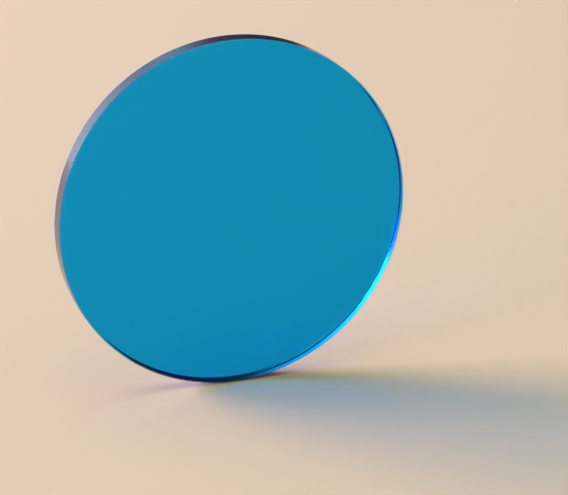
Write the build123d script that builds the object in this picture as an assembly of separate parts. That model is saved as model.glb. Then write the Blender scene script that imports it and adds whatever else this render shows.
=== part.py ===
from build123d import *

import os

# Colour filter disc: one flat plate of glass, coloured right through, with two polished
# faces and a rim whose corners are slightly bevelled so that they neither chip nor cut.
#
# Frame: the origin is the centre of the disc, midway between its faces. The optical axis
# runs along Y, the front face looks towards -Y and +Z is up. The disc stands on its rim,
# so it touches the table at Z = -disc_diameter / 2.

# Driving dimensions, in millimetres.
disc_diameter = 45.0  # across the cylindrical land of the rim
disc_thickness = 2.5  # between the two polished faces
front_bevel_leg = 0.20  # 45-degree bevel on the front corner, measured along the face
rear_bevel_leg = 0.20  # 45-degree bevel on the rear corner, measured along the face
face_arris_radius = 0.08  # soft polished line where a bevel meets its face
land_arris_radius = 0.06  # soft ground line where a bevel meets the land

disc_radius = disc_diameter / 2
front_y = -disc_thickness / 2
rear_y = disc_thickness / 2


def at_radius(shape, radius):
    """The corners of a half section that lie at one radius from the optical axis."""
    return shape.vertices().filter_by(lambda corner: abs(corner.X - radius) < 1e-6)


def make_half_section():
    """Half of the disc's cross section: X is the radius and Y runs along the axis."""
    section = Polyline(
        (0, front_y),
        (disc_radius - front_bevel_leg, front_y),
        (disc_radius, front_y + front_bevel_leg),
        (disc_radius, rear_y - rear_bevel_leg),
        (disc_radius - rear_bevel_leg, rear_y),
        (0, rear_y),
        close=True,
    )
    return make_face(section)


def soften_corners(section):
    """Round the four lines where the bevels meet the faces and the land."""
    section = fillet(at_radius(section, disc_radius), land_arris_radius)
    for bevel_leg, face_y in ((front_bevel_leg, front_y), (rear_bevel_leg, rear_y)):
        corners = at_radius(section, disc_radius - bevel_leg)
        corners = corners.filter_by(lambda corner: abs(corner.Y - face_y) < 1e-6)
        section = fillet(corners, face_arris_radius)
    return section


def make_filter_disc():
    """The whole disc: its half section turned once round the optical axis."""
    return revolve(soften_corners(make_half_section()), axis=Axis.Y)


os.makedirs("parts", exist_ok=True)
export_step(make_filter_disc(), "parts/filter_disc.step")
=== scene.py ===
import math

import bmesh
import bpy
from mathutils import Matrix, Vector, noise


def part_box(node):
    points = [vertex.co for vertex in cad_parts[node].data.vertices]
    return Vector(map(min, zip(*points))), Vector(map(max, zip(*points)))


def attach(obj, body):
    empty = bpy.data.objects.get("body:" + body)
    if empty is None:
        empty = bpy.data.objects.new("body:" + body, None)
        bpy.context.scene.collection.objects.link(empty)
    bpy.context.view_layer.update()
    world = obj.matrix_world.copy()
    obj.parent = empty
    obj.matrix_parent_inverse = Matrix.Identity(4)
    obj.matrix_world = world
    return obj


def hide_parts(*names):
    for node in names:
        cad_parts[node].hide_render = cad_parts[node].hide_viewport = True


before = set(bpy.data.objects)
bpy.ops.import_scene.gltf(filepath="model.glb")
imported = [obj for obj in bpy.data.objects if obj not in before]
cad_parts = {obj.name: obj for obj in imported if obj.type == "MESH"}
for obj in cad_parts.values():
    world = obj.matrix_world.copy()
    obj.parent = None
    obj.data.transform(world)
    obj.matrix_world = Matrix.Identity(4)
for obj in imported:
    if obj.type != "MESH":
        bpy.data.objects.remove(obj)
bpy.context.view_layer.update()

# A loose disc of cyan-blue filter glass stands on its edge on pale paper, in front of a low
# and wide window. The disc is one solid, so the scene has one piece.

low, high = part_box("filter_disc")
MM = 0.001
RADIUS = min(high.x, -low.x, high.z, -low.z)
HALF = high.y
TABLE_Z = low.z
scene = bpy.context.scene

# ---------------------------------------------------------------- the disc's section
BEVEL = 0.20 * MM
FACE_ARRIS = 0.08 * MM
LAND_ARRIS = 0.06 * MM
SEGMENTS = 900
FACE_RINGS = (0.12, 0.3, 0.5, 0.68, 0.82, 0.91, 0.955, 0.985)  # shares of the radius

# Small errors of a rim that was ground by hand.
BEVEL_WANDER = 0.012 * MM
OUT_OF_ROUND = 0.003 * MM
NICK_DEPTH = 0.12 * MM
NICK_REACH = 0.16 * MM
NICK_RARITY = 0.42


def arris(before, corner, after, radius, steps):
    """Points of the small arc that rounds one corner of the section."""
    before, corner, after = Vector(before), Vector(corner), Vector(after)
    to_before = (before - corner).normalized()
    to_after = (after - corner).normalized()
    half_angle = to_before.angle(to_after) / 2
    centre = corner + (to_before + to_after).normalized() * radius / math.sin(half_angle)
    start = corner + to_before * radius / math.tan(half_angle) - centre
    end = corner + to_after * radius / math.tan(half_angle) - centre
    first = math.atan2(start.y, start.x)
    turn = (math.atan2(end.y, end.x) - first + math.pi) % math.tau - math.pi
    arc = []
    for i in range(steps + 1):
        a = first + turn * i / steps
        arc.append((centre.x + radius * math.cos(a), centre.y + radius * math.sin(a)))
    return arc


def between(a, b, shares):
    """Points part of the way from a to b."""
    return [(a[0] + (b[0] - a[0]) * s, a[1] + (b[1] - a[1]) * s) for s in shares]


def front_half():
    """The section from the middle of the front face to the middle of the land."""
    face_corner = (RADIUS - BEVEL, -HALF)
    land_corner = (RADIUS, -HALF + BEVEL)
    face_arc = arris((0, -HALF), face_corner, land_corner, FACE_ARRIS, 6)
    land_arc = arris(face_corner, land_corner, (RADIUS, 0), LAND_ARRIS, 5)
    points = [(RADIUS * share, -HALF) for share in FACE_RINGS]
    points += face_arc
    points += between(face_arc[-1], land_arc[0], (0.05, 0.28, 0.5, 0.72, 0.95))
    points += land_arc
    points += between(land_arc[-1], (RADIUS, 0), (0.05, 0.4, 0.7, 1.0))
    return points


section = front_half()
section += [(r, -y) for r, y in reversed(section[:-1])]


def around(angle, scale, seed):
    """Smooth noise round the rim, from about -1 to 1."""
    return noise.noise(Vector((math.cos(angle) * scale, math.sin(angle) * scale, seed)))


def rim_radius(r, y, angle):
    """The radius of one point of the section, with the small errors of the rim."""
    inner = RADIUS - BEVEL - FACE_ARRIS
    if r <= inner:
        return r
    side = 1 if y > 0 else -1
    outward = min(1.0, (r - inner) / (BEVEL + FACE_ARRIS))
    # the bevels are a little wider in some places than in others
    if abs(y) > HALF - BEVEL * 0.8 or r < RADIUS - 1e-7:
        wander = 1 + around(angle, scale=2.4, seed=1.0 + side)
        r -= BEVEL_WANDER * wander * math.sin(math.pi * outward)
    # tiny nicks, picked up in handling, in the line between each bevel and the land
    if r > RADIUS - 0.1 * MM:
        nearness = max(0.0, 1 - abs(abs(y) - (HALF - BEVEL)) / NICK_REACH)
        nick = max(0.0, around(angle, scale=62, seed=7.3 + side * 5) - NICK_RARITY)
        r -= nick * NICK_DEPTH * nearness
    # the rim is out of round by a few thousandths of a millimetre
    r -= OUT_OF_ROUND * (1 + around(angle, scale=3.1, seed=9.0)) * outward
    return r


def make_disc():
    """The whole disc: its section, turned round the optical axis."""
    mesh = bmesh.new()
    rings = []
    for r, y in section:
        ring = []
        for i in range(SEGMENTS):
            angle = math.tau * i / SEGMENTS
            ground_r = rim_radius(r, y, angle)
            place = (ground_r * math.cos(angle), y, ground_r * math.sin(angle))
            ring.append(mesh.verts.new(place))
        rings.append(ring)
    front, rear = mesh.verts.new((0, -HALF, 0)), mesh.verts.new((0, HALF, 0))
    for i in range(SEGMENTS):
        j = (i + 1) % SEGMENTS
        mesh.faces.new((front, rings[0][i], rings[0][j]))
        mesh.faces.new((rear, rings[-1][j], rings[-1][i]))
        for a, b in zip(rings, rings[1:]):
            mesh.faces.new((a[j], a[i], b[i], b[j]))
    bmesh.ops.recalc_face_normals(mesh, faces=mesh.faces)
    for face in mesh.faces:
        face.smooth = True
    data = bpy.data.meshes.new("glass_disc")
    mesh.to_mesh(data)
    mesh.free()
    made = bpy.data.objects.new("glass_disc", data)
    scene.collection.objects.link(made)
    return made


# ---------------------------------------------------------------- materials
class Tree:
    """A short way to write the nodes of a material or of the world."""

    def __init__(self, owner):
        owner.use_nodes = True
        self.tree = owner.node_tree
        self.tree.nodes.clear()

    def node(self, kind, **values):
        made = self.tree.nodes.new(kind)
        for key, value in values.items():
            made.inputs[key.replace("_", " ")].default_value = value
        return made

    def join(self, a, b):
        self.tree.links.new(a, b)

    def fill(self, sockets, terms):
        """Give each socket its term: a number, a colour or another node's output."""
        for socket, term in zip(sockets, terms):
            if hasattr(term, "links"):
                self.join(term, socket)
            else:
                socket.default_value = term

    def math(self, operation, *terms):
        made = self.tree.nodes.new("ShaderNodeMath")
        made.operation = operation
        self.fill(made.inputs, terms)
        return made.outputs[0]

    def vector_math(self, operation):
        made = self.tree.nodes.new("ShaderNodeVectorMath")
        made.operation = operation
        return made

    def times(self, first, *others):
        for other in others:
            first = self.math("MULTIPLY", first, other)
        return first

    def ramp(self, value, from_low, from_high, to_low=0.0, to_high=1.0):
        made = self.tree.nodes.new("ShaderNodeMapRange")
        made.interpolation_type = "SMOOTHSTEP"
        self.fill(made.inputs, (value, from_low, from_high, to_low, to_high))
        return made.outputs[0]

    def noise(self, vector, scale, detail=2.0, roughness=0.5):
        made = self.node("ShaderNodeTexNoise", Scale=scale, Detail=detail, Roughness=roughness)
        self.join(vector, made.inputs["Vector"])
        return made.outputs[0]

    def combine(self, *terms):
        made = self.tree.nodes.new("ShaderNodeCombineXYZ")
        self.fill(made.inputs, terms)
        return made.outputs[0]


# What the glass lets through in red, green and blue on the camera's look through the disc,
# which is a little longer than the disc is thick.
THROUGH = (0.0066, 0.418, 0.945)
LOOK_LENGTH = 2 * HALF * 1.047
absorbed = [-math.log(share) / LOOK_LENGTH for share in THROUGH]
DENSITY = max(absorbed)

GLASS_IOR = 1.5
SPECULAR_TINT = (0.0, 0.02, 0.03)
# Roughness of the faces, the bevels and the land, and what is clear of the last two.
FACE_ROUGH = 0.025
BEVEL_ROUGH = 0.09
LAND_ROUGH = 0.16
BEVEL_CLEAR = 0.985
LAND_CLEAR = 0.97
# A thin shine over the ground rim.
RIM_COAT = 0.35
RIM_COAT_ROUGH = 0.14
# Scales of the patterns: round the rim and across it, along a hairline and across it.
STREAK_ROUND, STREAK_ACROSS = 9.0, 9000.0
HAIR_ALONG, HAIR_ACROSS = 260.0, 9000.0
GRAIN_SCALE = 16000.0
COARSE_SCALE = 900.0
DUST_SCALE = 330.0
GRAIN_DEPTH = 0.004 * MM

PAPER_TONES = ((0.770, 0.626, 0.500, 1), (0.784, 0.646, 0.520, 1))
FIBRE_SCALE = 2600.0
FIBRE_DEPTH = 0.02 * MM


def make_glass():
    material = bpy.data.materials.new("tinted_glass")
    t = Tree(material)
    place = t.node("ShaderNodeTexCoord").outputs["Object"]
    xyz = t.node("ShaderNodeSeparateXYZ")
    t.join(place, xyz.inputs[0])
    x, y, z = xyz.outputs

    # masks that are 1 from the inner edge of the bevels outwards, and on the land
    radius = t.math("SQRT", t.math("ADD", t.times(x, x), t.times(z, z)))
    rim = t.ramp(radius, RADIUS - BEVEL - 0.04 * MM, RADIUS - BEVEL + 0.03 * MM)
    land = t.ramp(radius, RADIUS - 0.05 * MM, RADIUS - 0.02 * MM)

    # grinding marks that run round the rim, and the grain that they leave
    angle = t.math("ARCTAN2", z, x)
    turned = t.combine(
        t.times(angle, STREAK_ROUND), t.times(y, STREAK_ACROSS), t.times(radius, STREAK_ACROSS)
    )
    streaks = t.noise(turned, 1.0, detail=3.0, roughness=0.6)
    grain = t.noise(place, GRAIN_SCALE, detail=2.0, roughness=0.6)
    coarse = t.noise(place, COARSE_SCALE)

    # hairline marks from wiping, and a little dust, on the polished faces
    wiped = t.combine(t.times(x, HAIR_ALONG), t.times(z, HAIR_ACROSS), y)
    hairs = t.ramp(t.noise(wiped, 1.0), 0.68, 0.76)
    speck = t.node("ShaderNodeTexVoronoi", Scale=DUST_SCALE, Randomness=1.0)
    t.join(place, speck.inputs["Vector"])
    dust = t.ramp(speck.outputs["Distance"], 0.012, 0.02, 1.0, 0.0)

    bevel_step = t.math("ADD", BEVEL_ROUGH - FACE_ROUGH - 0.05, t.times(streaks, 0.1))
    land_step = t.math("ADD", LAND_ROUGH - BEVEL_ROUGH - 0.06, t.times(grain, 0.12))
    rough = t.math("ADD", FACE_ROUGH, t.times(hairs, 0.03))
    rough = t.math("ADD", rough, t.times(rim, bevel_step))
    rough = t.math("ADD", rough, t.times(land, land_step))

    bevel_loss = t.times(rim, 1 - BEVEL_CLEAR, t.ramp(streaks, 0.25, 0.75, 0.6, 1.4))
    land_loss = t.times(land, BEVEL_CLEAR - LAND_CLEAR, t.ramp(coarse, 0.25, 0.75, 0.8, 1.2))
    clear = t.math("SUBTRACT", 1.0, bevel_loss)
    clear = t.math("SUBTRACT", clear, land_loss)
    clear = t.math("SUBTRACT", clear, t.times(dust, 0.5))

    height = t.times(rim, t.math("ADD", t.times(streaks, 0.6), t.times(grain, 0.4)))
    bump = t.node("ShaderNodeBump", Strength=0.25, Distance=GRAIN_DEPTH)
    t.join(height, bump.inputs["Height"])

    glass = t.node("ShaderNodeBsdfPrincipled", IOR=GLASS_IOR, Base_Color=(1, 1, 1, 1))
    glass.inputs["Specular Tint"].default_value = (*SPECULAR_TINT, 1)
    glass.inputs["Coat Roughness"].default_value = RIM_COAT_ROUGH
    t.join(rough, glass.inputs["Roughness"])
    t.join(clear, glass.inputs["Transmission Weight"])
    t.join(t.times(rim, RIM_COAT), glass.inputs["Coat Weight"])
    t.join(bump.outputs[0], glass.inputs["Normal"])

    inside = t.node("ShaderNodeVolumeAbsorption", Density=DENSITY)
    inside.inputs["Color"].default_value = (*[1 - a / DENSITY for a in absorbed], 1)
    out = t.node("ShaderNodeOutputMaterial")
    t.join(glass.outputs[0], out.inputs["Surface"])
    t.join(inside.outputs[0], out.inputs["Volume"])
    return material


def make_paper():
    material = bpy.data.materials.new("peach_paper")
    t = Tree(material)
    place = t.node("ShaderNodeTexCoord").outputs["Object"]
    fibre = t.noise(place, FIBRE_SCALE, detail=3.0, roughness=0.6)
    tone = t.node("ShaderNodeMixRGB", Color1=PAPER_TONES[0], Color2=PAPER_TONES[1])
    t.join(fibre, tone.inputs[0])
    bump = t.node("ShaderNodeBump", Strength=0.2, Distance=FIBRE_DEPTH)
    t.join(fibre, bump.inputs["Height"])
    paper = t.node("ShaderNodeBsdfPrincipled", Roughness=0.85, Specular_IOR_Level=0.15)
    t.join(tone.outputs[0], paper.inputs["Base Color"])
    t.join(bump.outputs[0], paper.inputs["Normal"])
    out = t.node("ShaderNodeOutputMaterial")
    t.join(paper.outputs[0], out.inputs["Surface"])
    return material


# ---------------------------------------------------------------- the piece
disc = make_disc()
disc.data.materials.append(make_glass())
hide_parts("filter_disc")
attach(disc, "root")

# ---------------------------------------------------------------- the floor
FLOOR_HALF = 0.6


def make_floor():
    signs = [(-1, -1), (1, -1), (1, 1), (-1, 1)]
    corners = [(x * FLOOR_HALF, y * FLOOR_HALF, TABLE_Z) for x, y in signs]
    data = bpy.data.meshes.new("floor")
    data.from_pydata(corners, [], [(0, 1, 2, 3)])
    data.materials.append(make_paper())
    made = bpy.data.objects.new("floor", data)
    scene.collection.objects.link(made)
    return made


make_floor()

# ---------------------------------------------------------------- light
WINDOW_AZIMUTH, WINDOW_ELEVATION = 36.5, 14
WINDOW_DISTANCE = 1.5
WINDOW_SIZE = (0.93, 0.54)
WINDOW_POWER = 41.0
WINDOW_COLOUR = (1.15, 0.98, 1.46)

# The rest of the room: a dim level all round, and soft patches that brighten or darken it.
# Each patch has its azimuth span, its elevation span and the width of its soft edge, all in
# degrees, and then its colour.
ROOM = (0.12, 0.11, 0.05)
WALL_BESIDE_WINDOW = ((50, 74), (-20, 34), 16, (1.55, 1.90, 2.05))
WALL_FURTHER_ROUND = ((74, 98), (-20, 34), 16, (0.48, 1.02, 1.15))
WHITE_CARD = ((-40, -10), (4, 34), 12, (1.8, 1.6, 1.2))
CEILING = ((-400, 400), (56, 120), 20, (0.88, 0.98, 0.34))
DARK_CORNER = ((106, 150), (-20, 30), 14, (-0.09, -0.08, -0.03))
PATCHES = (WALL_BESIDE_WINDOW, WALL_FURTHER_ROUND, WHITE_CARD, CEILING, DARK_CORNER)


def towards(azimuth, elevation):
    """Unit vector to a lamp: azimuth 0 is -X and turns towards +Y."""
    a, e = math.radians(azimuth), math.radians(elevation)
    return Vector((-math.cos(a) * math.cos(e), math.sin(a) * math.cos(e), math.sin(e)))


def make_window():
    light = bpy.data.lights.new("window", "AREA")
    light.shape = "RECTANGLE"
    light.size, light.size_y = WINDOW_SIZE
    light.energy = WINDOW_POWER
    light.color = WINDOW_COLOUR
    holder = bpy.data.objects.new("window", light)
    direction = towards(WINDOW_AZIMUTH, WINDOW_ELEVATION)
    holder.location = direction * WINDOW_DISTANCE
    holder.rotation_euler = direction.to_track_quat("Z", "Y").to_euler()
    holder.visible_camera = False
    scene.collection.objects.link(holder)


def inside_span(t, value, span, soft):
    """1 inside a span of degrees, 0 outside it, with soft edges."""
    first, last = span
    rise = t.ramp(value, first - soft / 2, first + soft / 2)
    fall = t.ramp(value, last - soft / 2, last + soft / 2, 1.0, 0.0)
    return t.times(rise, fall)


def make_room():
    world = bpy.data.worlds.new("room")
    scene.world = world
    t = Tree(world)
    xyz = t.node("ShaderNodeSeparateXYZ")
    t.join(t.node("ShaderNodeTexCoord").outputs["Generated"], xyz.inputs[0])
    x, y, z = xyz.outputs
    azimuth = t.times(t.math("ARCTAN2", y, t.times(x, -1.0)), 180 / math.pi)
    elevation = t.times(t.math("ARCSINE", z), 180 / math.pi)
    tone = ROOM
    for azimuths, elevations, soft, colour in PATCHES:
        across = inside_span(t, azimuth, azimuths, soft)
        upwards = inside_span(t, elevation, elevations, soft)
        share = t.times(across, upwards)
        patch = t.vector_math("SCALE")
        patch.inputs[0].default_value = colour
        t.join(share, patch.inputs["Scale"])
        total = t.vector_math("ADD")
        t.fill(total.inputs, (tone, patch.outputs[0]))
        tone = total.outputs[0]
    light = t.node("ShaderNodeBackground")
    t.join(tone, light.inputs["Color"])
    out = t.node("ShaderNodeOutputWorld")
    t.join(light.outputs[0], out.inputs["Surface"])


make_window()
make_room()

# ---------------------------------------------------------------- camera
VIEW_AZIMUTH, VIEW_ELEVATION = math.radians(-18.566), math.radians(19.936)
AIM_YAW, AIM_PITCH = math.radians(-1.084), math.radians(0.709)
VIEW_DISTANCE = 16.21 * RADIUS
IMAGE_WIDTH = 568
FOCAL_LENGTH = 2934.9  # in the same unit as the image's width
FIELD_OF_VIEW = 2 * math.atan(IMAGE_WIDTH / 2 / FOCAL_LENGTH)
LIGHT_BOUNCES = 24


def camera_back(azimuth, elevation):
    """Unit vector from what the camera looks at to the camera: azimuth 0 is -Y."""
    level = math.cos(elevation)
    return Vector((math.sin(azimuth) * level, -math.cos(azimuth) * level, math.sin(elevation)))


camera_data = bpy.data.cameras.new("camera")
camera_data.angle = FIELD_OF_VIEW
camera_data.clip_start = 0.01
camera = bpy.data.objects.new("camera", camera_data)
camera.location = camera_back(VIEW_AZIMUTH, VIEW_ELEVATION) * VIEW_DISTANCE
aim = camera_back(VIEW_AZIMUTH + AIM_YAW, VIEW_ELEVATION + AIM_PITCH)
camera.rotation_euler = aim.to_track_quat("Z", "Y").to_euler()
scene.collection.objects.link(camera)
scene.camera = camera

scene.view_settings.view_transform = "Standard"
scene.cycles.max_bounces = LIGHT_BOUNCES
scene.cycles.transmission_bounces = LIGHT_BOUNCES
scene.cycles.glossy_bounces = LIGHT_BOUNCES
scene.cycles.caustics_reflective = True
scene.cycles.caustics_refractive = True
scene.cycles.blur_glossy = 0.0
scene.cycles.sample_clamp_indirect = 0.0
